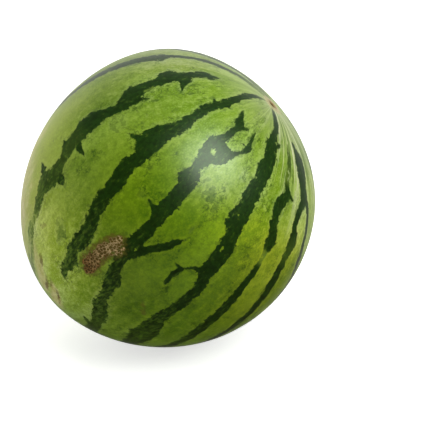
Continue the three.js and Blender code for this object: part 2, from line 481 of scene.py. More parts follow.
def mark_rind(mesh):
    """Writes the marks of the rind on the unit ball's points, in millimetres."""
    count = len(mesh.vertices)
    unit = np.empty(count * 3)
    mesh.vertices.foreach_get("co", unit)
    unit = unit.reshape(count, 3)
    places = unit * CROSS_RADIUS
    down = np.degrees(np.arccos(np.clip(unit[:, 2], -1, 1)))
    turn = np.arctan2(unit[:, 1], unit[:, 0])

    inside, halves, darkness = line_field(places, STRIPES + grown_stripes())
    inside = leave_islands(places, inside)
    corky = line_field(places, CORKY_SCAR)[0]
    brown, _, brownness = line_field(places, BROWN_MARKS)
    cream, _, creaminess = line_field(places, CREAM_MARKS)
    netted = line_field(places, NETTED_PLACES)[0]
    net = cork_net(places, corky > -6)
    spot = np.degrees(np.arccos(np.clip(unit @ directions(*GROUND_SPOT[:2]), -1, 1)))

    values = {
        "stripe_inside": np.clip(inside, -16, 12),
        "stripe_half": halves,
        "stripe_darkness": darkness,
        "cork_inside": np.clip(corky, -12, 12),
        "brown_inside": np.clip(brown, -12, 12),
        "brownness": brownness,
        "cream_inside": np.clip(cream, -12, 12),
        "creaminess": creaminess,
        "netted_inside": np.clip(netted, -12, 12),
        "cork_net": net,
        "ground_inside": (GROUND_SPOT[2] - spot) / GROUND_SPOT[2],
        "relief": rind_relief(down, corky, net),
    }
    for name, value in values.items():
        mesh.attributes.new(name, "FLOAT", "POINT").data.foreach_set("value", value)
    follow = np.stack([np.cos(turn) * CROSS_RADIUS, np.sin(turn) * CROSS_RADIUS,
                       np.radians(down) * CROSS_RADIUS], axis=1)
    # tone carries the broad colour changes, painted light and shade among them.
    for name, value in (("rind_map", follow), ("tone", broad_tone_and_painted_light(unit))):
        mesh.attributes.new(name, "FLOAT_VECTOR", "POINT").data.foreach_set(
            "vector", value.ravel())


def broad_tone_and_painted_light(unit):
    """What the rind's colour is multiplied by at each place, from TONES_AND_PAINTED_LIGHT: its own broad
    changes and painted light and shade.
    """
    tone = np.ones((len(unit), 3))
    for down, turn, reach, *colour in TONES_AND_PAINTED_LIGHT:
        away = np.degrees(np.arccos(np.clip(unit @ directions(down, turn), -1, 1)))
        t = np.clip(1.4 * (1 - away / reach), 0, 1)
        share = (t * t * (3 - 2 * t))[:, None]
        tone *= 1 + share * (np.array(colour) - 1)
    return tone


def cork_net(places, wanted):
    """The raised net of the corky scar: 1 on a ridge, 0 in the gaps."""
    net = np.zeros(len(places))
    for i in np.nonzero(wanted)[0]:
        reach, _ = noise.voronoi(Vector(places[i] / CORK_CELL))
        net[i] = 1 - min(1.0, (reach[1] - reach[0]) / CORK_RIDGE)
    return net


def rind_relief(down, corky, net):
    """Height in mm that the scars add to the rind."""
    cork = np.clip((corky + 1) / 2.5, 0, 1)
    height = cork * (0.15 + 0.45 * net)
    for angle, relief in ((down, BLOSSOM_RELIEF), (180 - down, STEM_RELIEF)):
        from_end = np.radians(angle) * CROSS_RADIUS
        for out, rise, breadth in relief:
            height += rise * np.exp(-((from_end - out) / breadth) ** 2)
    return height


# ---------------------------------------------------------------- growing the ball


def growing_tree(material):
    """Node tree that grows a unit ball into the fruit, around its own centre."""
    tree = bpy.data.node_groups.new("grow_fruit", "GeometryNodeTree")
    face = tree.interface
    values = {"Cross Radius": CROSS_RADIUS, "End Radius": END_RADIUS,
              "Lean": math.radians(AXIS_LEAN), "Unevenness": UNEVENNESS,
              "Unevenness Seed": UNEVENNESS_SEED}
    for name, (_, _, height, breadth) in SWELLS.items():
        values[name + " height"] = height
        values[name + " sharpness"] = 1 / (1 - math.cos(math.radians(breadth)))
    face.new_socket("Geometry", in_out="INPUT", socket_type="NodeSocketGeometry")
    for name in values:
        face.new_socket(name, in_out="INPUT", socket_type="NodeSocketFloat")
    face.new_socket("Geometry", in_out="OUTPUT", socket_type="NodeSocketGeometry")
    given = tree.nodes.new("NodeGroupInput").outputs

    place = add(tree, "GeometryNodeInputPosition")
    unit = add(tree, "ShaderNodeVectorMath", {0: place}, operation="NORMALIZE")
    radii = add(tree, "ShaderNodeCombineXYZ", {
        "X": given["Cross Radius"], "Y": given["Cross Radius"], "Z": given["End Radius"]})
    squeezed = add(tree, "ShaderNodeVectorMath", {0: unit, 1: radii}, operation="DIVIDE")
    length = add(tree, "ShaderNodeVectorMath", {0: squeezed}, operation="LENGTH")
    radius = add(tree, "ShaderNodeMath", {0: 1.0, 1: length.outputs["Value"]}, operation="DIVIDE")
    for name, (down, around, _, _) in SWELLS.items():
        toward = tuple(directions(down, around))
        facing = add(tree, "ShaderNodeVectorMath", {0: unit, 1: toward}, operation="DOT_PRODUCT")
        away = add(tree, "ShaderNodeMath", {0: facing.outputs["Value"], 1: 1.0}, operation="SUBTRACT")
        fall = add(tree, "ShaderNodeMath", {0: away, 1: given[name + " sharpness"]}, operation="MULTIPLY")
        share = add(tree, "ShaderNodeMath", {0: fall}, operation="EXPONENT")
        radius = add(tree, "ShaderNodeMath", {0: share, 1: given[name + " height"], 2: radius},
                     operation="MULTIPLY_ADD")
    lumps = add(tree, "ShaderNodeTexNoise", {
        "Vector": unit, "W": given["Unevenness Seed"], "Scale": 3.2, "Detail": 2.0},
        noise_dimensions="4D")
    centred = add(tree, "ShaderNodeMath", {0: lumps.outputs[0], 1: 0.5}, operation="SUBTRACT")
    radius = add(tree, "ShaderNodeMath", {0: centred, 1: given["Unevenness"], 2: radius},
                 operation="MULTIPLY_ADD")
    relief = add(tree, "GeometryNodeInputNamedAttribute", {"Name": "relief"}, data_type="FLOAT")
    radius = add(tree, "ShaderNodeMath", {0: radius, 1: relief.outputs["Attribute"]}, operation="ADD")
    metres = add(tree, "ShaderNodeMath", {0: radius, 1: MM}, operation="MULTIPLY")
    grown = add(tree, "ShaderNodeVectorMath", {0: unit, "Scale": metres}, operation="SCALE")
    turned = add(tree, "ShaderNodeVectorRotate", {"Vector": grown, "Angle": -math.pi / 2},
                 rotation_type="Z_AXIS")
    leaned = add(tree, "ShaderNodeVectorRotate", {"Vector": turned, "Angle": given["Lean"]},
                 rotation_type="Y_AXIS")
    moved = add(tree, "GeometryNodeSetPosition", {"Geometry": given["Geometry"], "Position": leaned})
    soft = add(tree, "GeometryNodeSetShadeSmooth", {"Geometry": moved})
    real = add(tree, "GeometryNodeRealizeInstances", {"Geometry": soft})
    coated = add(tree, "GeometryNodeSetMaterial", {"Geometry": real, "Material": material})
    add(tree, "NodeGroupOutput", {"Geometry": coated})
    return tree, values


def grow(name, ball, material):
    """Grows the marked ball with the node tree, and keeps the result as a mesh."""
    seed_mesh = bpy.data.meshes.new(name + "_ball")
    ball.to_mesh(seed_mesh)
    ball.free()
    mark_rind(seed_mesh)
    seed = bpy.data.objects.new(name + "_ball", seed_mesh)
    bpy.context.scene.collection.objects.link(seed)
    tree, values = growing_tree(material)
    growth = seed.modifiers.new("growth", "NODES")
    growth.node_group = tree
    for socket in tree.interface.items_tree:
        if socket.name in values:
            growth[socket.identifier] = values[socket.name]
    evaluated = seed.evaluated_get(bpy.context.evaluated_depsgraph_get())
    mesh = bpy.data.meshes.new_from_object(evaluated)
    mesh.name = name
    seed.modifiers.remove(growth)
    bpy.data.objects.remove(seed)
    fruit = bpy.data.objects.new(name, mesh)
    bpy.context.scene.collection.objects.link(fruit)
    return fruit


def set_down(mesh, solid_low, solid_high):
    """Moves the fruit to where the solid lies, and presses its rest flat."""
    count = len(mesh.vertices)
    points = np.empty(count * 3)
    mesh.vertices.foreach_get("co", points)
    points = points.reshape(count, 3)
    low = points.min(0)
    high = points.max(0)
    shift = (np.array(solid_low) + np.array(solid_high) - low - high) / 2
    shift[2] = solid_high[2] - high[2]
    points += shift
    soft = PRESS_SOFTNESS * MM
    points[:, 2] = (points[:, 2] + np.hypot(points[:, 2], soft)) / 2
    mesh.vertices.foreach_set("co", points.ravel())
    mesh.update()


# ---------------------------------------------------------------- the rind's finish


NUMBER_MARKS = ("stripe_inside", "stripe_half", "stripe_darkness", "cork_inside", "cork_net",
                "brown_inside", "brownness", "cream_inside", "creaminess", "netted_inside",
                "ground_inside")
VECTOR_MARKS = ("rind_map", "tone")


def read_marks(tree):
    """The values carried on the rind's points, as sockets, and maps made from them."""
    marks = {}
    for name in NUMBER_MARKS:
        marks[name] = add(tree, "ShaderNodeAttribute", attribute_name=name).outputs["Fac"]
    for name in VECTOR_MARKS:
        marks[name] = add(tree, "ShaderNodeAttribute", attribute_name=name).outputs["Vector"]
    follow = marks["rind_map"]
    for name, shrink in (("long_map", 0.45), ("streak_map", 0.06)):
        marks[name] = add(tree, "ShaderNodeVectorMath", {0: follow, 1: (1, 1, shrink)},
                          operation="MULTIPLY").outputs["Vector"]
    marks["from_blossom"] = add(tree, "ShaderNodeSeparateXYZ", {"Vector": follow}).outputs["Z"]
    marks["from_stem"] = add(tree, "ShaderNodeMath", {
        0: math.pi * CROSS_RADIUS, 1: marks["from_blossom"]}, operation="SUBTRACT").outputs[0]
    return marks


def ragged_edge(tree, marks):
    """Distance inside a stripe, with pale rounded lobes pushed in and dark cusps out."""
    follow = marks["rind_map"]
    warp = add(tree, "ShaderNodeTexNoise", {"Vector": follow, "Scale": 1 / 7, "Detail": 2.0})
    shifted = add(tree, "ShaderNodeVectorMath", {0: warp.outputs["Color"], 1: (0.5, 0.5, 0.5)},
                  operation="SUBTRACT")
    bent = add(tree, "ShaderNodeVectorMath", {0: shifted, 1: (7, 7, 7), 2: follow},
               operation="MULTIPLY_ADD")
    push = -2.7
    for cell, height in ((6.0, 3.0), (2.5, 2.0), (1.3, 0.9)):
        lobes = add(tree, "ShaderNodeTexVoronoi", {"Vector": bent, "Scale": 1 / cell},
                    feature="F1").outputs["Distance"]
        push = add(tree, "ShaderNodeMath", {0: lobes, 1: height, 2: push},
                   operation="MULTIPLY_ADD")
    share = add(tree, "ShaderNodeMapRange", {
        "Value": marks["stripe_half"], "From Min": 0.4, "From Max": 3.5, "To Min": 0.15})
    ragged = add(tree, "ShaderNodeMath", {0: push, 1: share, 2: marks["stripe_inside"]},
                 operation="MULTIPLY_ADD")
    return ragged.outputs[0], bent.outputs["Vector"]


def pale_rind(tree, marks):
    """Yellow green, in soft patches and streaks, with fine pale and dark dots all over."""
    patches = add(tree, "ShaderNodeTexNoise", {
        "Vector": marks["long_map"], "Scale": 1 / 24, "Detail": 4.0})
    pale = add(tree, "ShaderNodeValToRGB", {"Fac": patches.outputs[0]})
    ramp = pale.color_ramp
    ramp.elements[0].position = 0.34
    ramp.elements[0].color = srgb("#668b02")
    ramp.elements[1].position = 0.66
    ramp.elements[1].color = srgb("#8bac38")
    middle = ramp.elements.new(0.5)
    middle.color = srgb("#7a9c1e")

    mottle = add(tree, "ShaderNodeTexNoise", {
        "Vector": marks["rind_map"], "Scale": 1 / 5.0, "Detail": 5.0, "Roughness": 0.62})
    deeper = add(tree, "ShaderNodeMapRange", {
        "Value": mottle.outputs[0], "From Min": 0.5, "From Max": 0.66, "To Max": 0.5})
    mottled = add(tree, "ShaderNodeMix", {
        "Factor": deeper, "A": pale, "B": srgb("#4f7400")}, data_type="RGBA")
    dots = add(tree, "ShaderNodeTexVoronoi", {
        "Vector": marks["rind_map"], "Scale": 1 / 1.7}, feature="F1")
    dot = add(tree, "ShaderNodeMapRange", {
        "Value": dots.outputs["Distance"], "From Min": 0.55, "From Max": 0.2, "To Max": 0.3})
    lighter = add(tree, "ShaderNodeMapRange", {
        "Value": mottle.outputs[0], "From Min": 0.48, "From Max": 0.34, "To Max": 0.55})
    either = add(tree, "ShaderNodeMath", {0: dot, 1: lighter}, operation="MAXIMUM")
    dotted = add(tree, "ShaderNodeMix", {
        "Factor": either, "A": mottled, "B": srgb("#a3bf50")}, data_type="RGBA")
    grain = add(tree, "ShaderNodeTexNoise", {
        "Vector": marks["rind_map"], "Scale": 1 / 1.8, "Detail": 2.0, "Roughness": 0.6})
    pit = add(tree, "ShaderNodeMapRange", {
        "Value": grain.outputs[0], "From Min": 0.52, "From Max": 0.68, "To Max": 0.4})
    pitted = add(tree, "ShaderNodeMix", {
        "Factor": pit, "A": dotted, "B": srgb("#5a7d14")}, data_type="RGBA")
    return pitted


def warm_side(tree, marks, colour):
    """The side toward the soil is paler and more yellow."""
    drift = add(tree, "ShaderNodeTexNoise", {
        "Vector": marks["rind_map"], "Scale": 1 / 20, "Detail": 3.0})
    near = add(tree, "ShaderNodeMath", {0: drift.outputs[0], 1: 0.6, 2: marks["ground_inside"]},
               operation="MULTIPLY_ADD")
    warmth = add(tree, "ShaderNodeMapRange", {
        "Value": near, "From Min": -0.6, "From Max": 0.5, "To Max": 0.8},
        interpolation_type="SMOOTHSTEP")
    return add(tree, "ShaderNodeMix", {
        "Factor": warmth, "A": colour, "B": srgb("#b9c655")}, data_type="RGBA")


def blossom_streaks(tree, marks, colour):
    """Pale and olive streaks that run out from the blossom end, on a paleness there that is partly the
    rind's own and partly painted sheen and reflection.
    """
    reach = add(tree, "ShaderNodeTexNoise", {
        "Vector": marks["streak_map"], "Scale": 1 / 45, "Detail": 1.0})
    side = add(tree, "ShaderNodeVectorMath", {0: marks["rind_map"], 1: STREAKY_SIDE},
               operation="DOT_PRODUCT").outputs["Value"]
    streaky = add(tree, "ShaderNodeMapRange", {
        "Value": side, "From Min": 55.0, "From Max": 92.0, "To Min": 0.3, "To Max": 1.0})
    away = add(tree, "ShaderNodeMath", {
        0: reach.outputs[0], 1: -110.0, 2: marks["from_blossom"]}, operation="MULTIPLY_ADD")
    away = add(tree, "ShaderNodeMath", {0: streaky, 1: -38.0, 2: away}, operation="MULTIPLY_ADD")
    fade = add(tree, "ShaderNodeMapRange", {
        "Value": away, "From Min": 15.0, "From Max": -60.0}, interpolation_type="SMOOTHSTEP")
    # Paler toward the blossom end: partly the rind's own colour, partly painted sheen and a painted
    # reflection of the bright room at the fruit's edge.
    blossom_paleness_and_painted_reflection = add(tree, "ShaderNodeMapRange", {
        "Value": marks["from_blossom"], "From Min": 60.0, "From Max": 4.0, "To Max": 0.75})
    colour = add(tree, "ShaderNodeMix", {
        "Factor": blossom_paleness_and_painted_reflection, "A": colour, "B": srgb("#b3c27a")}, data_type="RGBA")
    fade = add(tree, "ShaderNodeMath", {0: fade, 1: streaky}, operation="MULTIPLY")
    lines = add(tree, "ShaderNodeTexNoise", {
        "Vector": marks["streak_map"], "Scale": 1 / 7, "Detail": 4.0, "Roughness": 0.75})
    for low, high, strength, tone in ((0.52, 0.58, 0.85, "#d8deae"), (0.48, 0.42, 0.9, "#54721a")):
        line = add(tree, "ShaderNodeMapRange", {
            "Value": lines.outputs[0], "From Min": low, "From Max": high, "To Max": strength},
            interpolation_type="SMOOTHSTEP")
        shown = add(tree, "ShaderNodeMath", {0: line, 1: fade}, operation="MULTIPLY")
        colour = add(tree, "ShaderNodeMix", {
            "Factor": shown, "A": colour, "B": srgb(tone)}, data_type="RGBA")
    return colour


def veins_and_specks(tree, marks, ragged, bent, colour):
    """Clusters of dark threads and specks, thickest beside the stripes."""
    fringe = add(tree, "ShaderNodeMapRange", {
        "Value": ragged, "From Min": -3.5, "From Max": -0.8, "To Max": 0.3},
        interpolation_type="SMOOTHSTEP")
    colour = add(tree, "ShaderNodeMix", {
        "Factor": fringe, "A": colour, "B": srgb("#9fbb58")}, data_type="RGBA")
    threads = add(tree, "ShaderNodeTexNoise", {
        "Vector": marks["rind_map"], "Scale": 1 / 4.2, "Detail": 3.0, "Roughness": 0.6})
    middle = add(tree, "ShaderNodeMath", {0: threads.outputs[0], 1: 0.5}, operation="SUBTRACT")
    aside = add(tree, "ShaderNodeMath", {0: middle}, operation="ABSOLUTE")
    line = add(tree, "ShaderNodeMapRange", {
        "Value": aside, "From Min": 0.035, "From Max": 0.01, "To Max": 0.75})
    beside = add(tree, "ShaderNodeMapRange", {
        "Value": marks["stripe_inside"], "From Min": -12.0, "From Max": -1.0,
        "To Max": 0.07})
    netted = add(tree, "ShaderNodeMapRange", {
        "Value": marks["netted_inside"], "From Min": -5.0, "From Max": 3.0, "To Max": 0.16},
        interpolation_type="SMOOTHSTEP")
    cluster = add(tree, "ShaderNodeTexNoise", {
        "Vector": marks["rind_map"], "Scale": 1 / 16, "Detail": 3.0})
    crowd = add(tree, "ShaderNodeMath", {0: cluster.outputs[0], 1: beside}, operation="ADD")
    crowd = add(tree, "ShaderNodeMath", {0: crowd, 1: netted}, operation="ADD")
    gathered = add(tree, "ShaderNodeMapRange", {
        "Value": crowd, "From Min": 0.565, "From Max": 0.68})
    vein = add(tree, "ShaderNodeMath", {0: line, 1: gathered}, operation="MULTIPLY")
    grain = add(tree, "ShaderNodeTexNoise", {
        "Vector": marks["rind_map"], "Scale": 1 / 4.4, "Detail": 3.0, "Roughness": 0.6})
    speck = add(tree, "ShaderNodeMapRange", {
        "Value": grain.outputs[0], "From Min": 0.54, "From Max": 0.63, "To Max": 0.8})
    speck = add(tree, "ShaderNodeMath", {0: speck, 1: gathered}, operation="MULTIPLY")
    dark = add(tree, "ShaderNodeMath", {0: vein, 1: speck}, operation="MAXIMUM")
    colour = add(tree, "ShaderNodeMix", {
        "Factor": dark, "A": colour, "B": srgb("#355608")}, data_type="RGBA")

    spread = add(tree, "ShaderNodeTexNoise", {
        "Vector": bent, "Scale": 1 / 5.5, "Detail": 3.0})
    spill = add(tree, "ShaderNodeMath", {0: spread.outputs[0], 1: 22.0, 2: ragged},
                operation="MULTIPLY_ADD")
    half_tone = add(tree, "ShaderNodeMapRange", {
        "Value": spill, "From Min": 10.6, "From Max": 12.0, "To Max": 0.45},
        interpolation_type="SMOOTHSTEP")
    return add(tree, "ShaderNodeMix", {
        "Factor": half_tone, "A": colour, "B": srgb("#35580a")}, data_type="RGBA")


def dark_stripes(tree, marks, ragged, bareness, colour):
    """Deep green stripes, mottled lighter, and broken into a net where they grow faint."""
    shade = add(tree, "ShaderNodeTexNoise", {
        "Vector": marks["long_map"], "Scale": 1 / 2.0, "Detail": 4.0, "Roughness": 0.65})
    wrinkled = add(tree, "ShaderNodeMapRange", {
        "Value": marks["from_blossom"], "From Min": 165.0, "From Max": 235.0,
        "To Min": -0.04, "To Max": 0.12})
    raised = add(tree, "ShaderNodeMath", {0: shade.outputs[0], 1: wrinkled}, operation="ADD")
    fleck = add(tree, "ShaderNodeMapRange", {
        "Value": raised, "From Min": 0.53, "From Max": 0.72, "To Max": 0.85})
    deep = add(tree, "ShaderNodeMix", {
        "Factor": fleck, "A": srgb("#183508"), "B": srgb("#55741f")}, data_type="RGBA")
    # The broad tone, with its painted light and shade, reaches the stripes at half strength.
    tone_and_painted_light_on_stripes = add(tree, "ShaderNodeVectorMath", {
        0: marks["tone"], 1: (0.5, 0.5, 0.5), 2: (0.5, 0.5, 0.5)}, operation="MULTIPLY_ADD")
    deep = add(tree, "ShaderNodeVectorMath", {0: deep, 1: tone_and_painted_light_on_stripes}, operation="MULTIPLY")
    crumbs = add(tree, "ShaderNodeTexNoise", {
        "Vector": marks["rind_map"], "Scale": 1 / 2.6, "Detail": 2.0, "Roughness": 0.6})
    crumb = add(tree, "ShaderNodeMapRange", {
        "Value": crumbs.outputs[0], "From Min": 0.36, "From Max": 0.64,
        "To Min": 0.62, "To Max": 1.42})
    deep = add(tree, "ShaderNodeVectorMath", {0: deep, "Scale": crumb}, operation="SCALE")
    darkness = add(tree, "ShaderNodeMath", {
        0: bareness, 1: -0.75, 2: marks["stripe_darkness"]}, operation="MULTIPLY_ADD")
    strong = add(tree, "ShaderNodeMapRange", {
        "Value": darkness, "From Min": 0.5, "From Max": 0.95},
        interpolation_type="SMOOTHSTEP")
    deep = add(tree, "ShaderNodeMix", {
        "Factor": strong, "A": srgb("#6c8a22"), "B": deep}, data_type="RGBA")
    windows = add(tree, "ShaderNodeTexNoise", {
        "Vector": marks["rind_map"], "Scale": 1 / 3.2, "Detail": 2.0})
    faint = add(tree, "ShaderNodeMath", {0: windows.outputs[0], 1: darkness},
                operation="SUBTRACT")
    solid = add(tree, "ShaderNodeMapRange", {
        "Value": faint, "From Min": 0.1, "From Max": -0.28, "To Min": 0.1},
        interpolation_type="SMOOTHSTEP")
    cover = add(tree, "ShaderNodeMapRange", {
        "Value": ragged, "From Min": -0.5, "From Max": 0.4}, interpolation_type="SMOOTHSTEP")
    cover = add(tree, "ShaderNodeMath", {0: cover, 1: solid}, operation="MULTIPLY")
    return add(tree, "ShaderNodeMix", {"Factor": cover, "A": colour, "B": deep},
               data_type="RGBA")


def soil_bareness(tree, marks):
    """How much each place lost its green to the soil, in lobes and small patches."""
    drift = add(tree, "ShaderNodeTexNoise", {
        "Vector": marks["long_map"], "Scale": 1 / 13, "Detail": 5.0, "Roughness": 0.6})
    near = add(tree, "ShaderNodeMath", {0: drift.outputs[0], 1: 1.3, 2: marks["ground_inside"]},
               operation="MULTIPLY_ADD")
    bare = add(tree, "ShaderNodeMapRange", {
        "Value": near, "From Min": 0.5, "From Max": 1.15}, interpolation_type="SMOOTHSTEP")
    smear = add(tree, "ShaderNodeMath", {0: drift.outputs[0], 1: 14.0, 2: marks["cream_inside"]},
                operation="MULTIPLY_ADD")
    patch = add(tree, "ShaderNodeMapRange", {
        "Value": smear, "From Min": 4.0, "From Max": 10.0, "To Max": marks["creaminess"]},
        interpolation_type="SMOOTHSTEP")
    return add(tree, "ShaderNodeMath", {0: bare, 1: patch}, operation="MAXIMUM").outputs[0]


def soil_spot(tree, marks, bareness, colour):
    """Where the fruit lay on the soil: cream, mottled, with small brown specks."""
    mottle = add(tree, "ShaderNodeTexNoise", {
        "Vector": marks["rind_map"], "Scale": 1 / 7, "Detail": 5.0, "Roughness": 0.65})
    blend = add(tree, "ShaderNodeMapRange", {
        "Value": mottle.outputs[0], "From Min": 0.36, "From Max": 0.64})
    cream = add(tree, "ShaderNodeMix", {
        "Factor": blend, "A": srgb("#cdc86c"), "B": srgb("#ebe6a8")}, data_type="RGBA")
    grit = add(tree, "ShaderNodeTexNoise", {
        "Vector": marks["rind_map"], "Scale": 1 / 2.4, "Detail": 3.0})
    crowd = add(tree, "ShaderNodeMath", {0: mottle.outputs[0], 1: 0.35, 2: grit.outputs[0]},
                operation="MULTIPLY_ADD")
    speck = add(tree, "ShaderNodeMapRange", {
        "Value": crowd, "From Min": 0.83, "From Max": 0.9, "To Max": 0.55})
    cream = add(tree, "ShaderNodeMix", {
        "Factor": speck, "A": cream, "B": srgb("#8d7238")}, data_type="RGBA")
    share = add(tree, "ShaderNodeMath", {0: bareness, 1: 0.95}, operation="MULTIPLY")
    return add(tree, "ShaderNodeMix", {
        "Factor": share, "A": colour, "B": cream}, data_type="RGBA")


def corky_patch(tree, marks, colour):
    """The healed scar: a pinkish tan net of cork with dark brown gaps."""
    fray = add(tree, "ShaderNodeTexNoise", {
        "Vector": marks["rind_map"], "Scale": 1 / 2.5, "Detail": 3.0})
    frayed = add(tree, "ShaderNodeMath", {0: fray.outputs[0], 1: 11.0, 2: marks["cork_inside"]},
                 operation="MULTIPLY_ADD")
    halo = add(tree, "ShaderNodeMapRange", {
        "Value": frayed, "From Min": 1.0, "From Max": 5.5, "To Max": 0.8},
        interpolation_type="SMOOTHSTEP")
    cover = add(tree, "ShaderNodeMapRange", {
        "Value": frayed, "From Min": 5.2, "From Max": 6.2}, interpolation_type="SMOOTHSTEP")
    tone = add(tree, "ShaderNodeTexNoise", {
        "Vector": marks["rind_map"], "Scale": 1 / 9, "Detail": 2.0})
    bleached = add(tree, "ShaderNodeMapRange", {
        "Value": marks["from_blossom"], "From Min": 200.0, "From Max": 222.0,
        "To Min": 0.62, "To Max": -0.08})
    worn = add(tree, "ShaderNodeMath", {0: tone.outputs[0], 1: 0.8, 2: bleached},
               operation="MULTIPLY_ADD", use_clamp=True)
    ridge = add(tree, "ShaderNodeMix", {
        "Factor": worn, "A": srgb("#ac7022"), "B": srgb("#d4b680")}, data_type="RGBA")
    gap = add(tree, "ShaderNodeMix", {
        "Factor": worn, "A": srgb("#4c3306"), "B": srgb("#5e4b0c")}, data_type="RGBA")
    cork = add(tree, "ShaderNodeMix", {
        "Factor": marks["cork_net"], "A": gap, "B": ridge}, data_type="RGBA")
    colour = add(tree, "ShaderNodeMix", {
        "Factor": halo, "A": colour, "B": srgb("#625c14")}, data_type="RGBA")
    colour = add(tree, "ShaderNodeMix", {
        "Factor": cover, "A": colour, "B": cork}, data_type="RGBA")
    dust = add(tree, "ShaderNodeMath", {0: fray.outputs[0], 1: 5.0, 2: marks["brown_inside"]},
               operation="MULTIPLY_ADD")
    mark = add(tree, "ShaderNodeMapRange", {
        "Value": dust, "From Min": 1.6, "From Max": 3.4, "To Max": marks["brownness"]},
        interpolation_type="SMOOTHSTEP")
    colour = add(tree, "ShaderNodeMix", {
        "Factor": mark, "A": colour, "B": srgb("#6e4a1e")}, data_type="RGBA")
    return colour, cover


def end_scar(tree, marks, distance, rings, colour):
    """A dry scar at one end, in rings: how far out in mm, colour, and strength."""
    fray = add(tree, "ShaderNodeTexNoise", {
        "Vector": marks["long_map"], "Scale": 1 / 3.0, "Detail": 4.0})
    frayed = add(tree, "ShaderNodeMath", {0: fray.outputs[0], 1: 6.0, 2: distance},
                 operation="MULTIPLY_ADD")
    for radius, tone, strength in rings:
        ring = add(tree, "ShaderNodeMapRange", {
            "Value": frayed, "From Min": radius + 3.8, "From Max": radius + 2.4,
            "To Max": strength}, interpolation_type="SMOOTHSTEP")
        colour = add(tree, "ShaderNodeMix", {
            "Factor": ring, "A": colour, "B": srgb(tone)}, data_type="RGBA")
    return colour


def rind_material():
    """Waxy watermelon rind: a satin skin that gives a broad soft sheen.

    Each pattern's Scale is one over the size of its patches in mm. The finest dots,
    grains and threads are drawn two to three times as coarse as they grow, because they
    would be too fine to show.
    """
    material = bpy.data.materials.new("waxy_striped_rind")
    material.use_nodes = True
    tree = material.node_tree
    tree.nodes.clear()

    marks = read_marks(tree)
    ragged, bent = ragged_edge(tree, marks)
    colour = pale_rind(tree, marks)
    colour = veins_and_specks(tree, marks, ragged, bent, colour)
    # The broad tone, with its painted light and shade.
    colour = add(tree, "ShaderNodeVectorMath", {0: colour, 1: marks["tone"]},
                 operation="MULTIPLY")
    colour = warm_side(tree, marks, colour)
    colour = blossom_streaks(tree, marks, colour)
    bareness = soil_bareness(tree, marks)
    colour = soil_spot(tree, marks, bareness, colour)
    colour = dark_stripes(tree, marks, ragged, bareness, colour)
    colour, corky = corky_patch(tree, marks, colour)
    colour = end_scar(tree, marks, marks["from_blossom"], BLOSSOM_RINGS, colour)
    colour = end_scar(tree, marks, marks["from_stem"], STEM_RINGS, colour)

    pores = add(tree, "ShaderNodeTexNoise", {
        "Vector": marks["rind_map"], "Scale": 1 / 1.4, "Detail": 3.0})
    grain = add(tree, "ShaderNodeMapRange", {
        "Value": pores.outputs[0], "From Min": 0.3, "From Max": 0.7,
        "To Min": 0.9, "To Max": 1.1})
    colour = add(tree, "ShaderNodeVectorMath", {0: colour, "Scale": grain}, operation="SCALE")
    rough = add(tree, "ShaderNodeMapRange", {
        "Value": pores.outputs[0], "From Min": 0.3, "From Max": 0.7,
        "To Min": 0.28, "To Max": 0.36})
    rough = add(tree, "ShaderNodeMix", {"Factor": corky, "A": rough, "B": 0.85},
                data_type="FLOAT")
    bump = add(tree, "ShaderNodeBump", {
        "Height": pores.outputs[0], "Strength": 0.25, "Distance": 0.08 * MM})
    skin = add(tree, "ShaderNodeBsdfPrincipled", {
        "Base Color": colour, "Roughness": rough, "IOR": 1.6, "Specular Tint": srgb("#eeffe4"),
        "Normal": bump})
    add(tree, "ShaderNodeOutputMaterial", {"Surface": skin})
    return material


# ---------------------------------------------------------------- the studio

CAMERA_ELEVATION = 25.0     # degrees above the floor
CAMERA_DISTANCE = 1.05      # m from the middle of the fruit
FOCAL_LENGTH = 108.0        # mm, on a 36 mm sensor
AIM_ASIDE = 43.02 * MM      # the camera looks this far to the right of the fruit's middle
AIM_BELOW = 19.22 * MM       # and this far below it

SOFTBOX_DISTANCE = 1.5      # m from the middle of the fruit
SOFTBOXES = (               # name, direction, side in m, power in W, makes only the sheen
    ("key", (0.53, -0.43, 0.735), 1.1, 19.0, False),
    ("fill", (-0.93, 0.05, 0.30), 1.6, 10.0, False),
    ("back", (-0.20, 0.50, 0.85), 1.6, 12.0, False),
    ("sheen", (0.49, -0.47, 0.745), 0.95, 15.8, True),
)
FLOOR_GLOW = 0.66           # light that the floor gives of itself
STAGE_REACH = 12.0          # m
UNDERLAY_TONE = "#d9d9d9"
WALL_DIRECTION = (0.0, 1.0, 0.0)
WALL_LIGHT = 0.75
ROOM_LIGHT = (0.04, 0.04, 0.015)    # faint and warm


def stage_piece(name, mesh, colour, glow, far_glow):
    """A piece of the stage in matt white acrylic, lit from inside, brighter far away."""
    material = bpy.data.materials.new("matt_acrylic_" + name)
    material.use_nodes = True
    tree = material.node_tree
    place = add(tree, "ShaderNodeTexCoord").outputs["Object"]
    away = add(tree, "ShaderNodeVectorMath", {0: place}, operation="LENGTH").outputs["Value"]
    strength = add(tree, "ShaderNodeMapRange", {
        "Value": away, "From Min": 0.6, "From Max": 1.8, "To Min": glow, "To Max": far_glow})
    skin = tree.nodes["Principled BSDF"]
    skin.inputs["Base Color"].default_value = srgb(colour)
    skin.inputs["Roughness"].default_value = 0.9
    skin.inputs["Specular IOR Level"].default_value = 0.0
    skin.inputs["Emission Color"].default_value = srgb("#ffffff")
    tree.links.new(strength.outputs["Result"], skin.inputs["Emission Strength"])
    mesh.materials.append(material)
    piece = bpy.data.objects.new(name, mesh)
    bpy.context.scene.collection.objects.link(piece)
    return piece


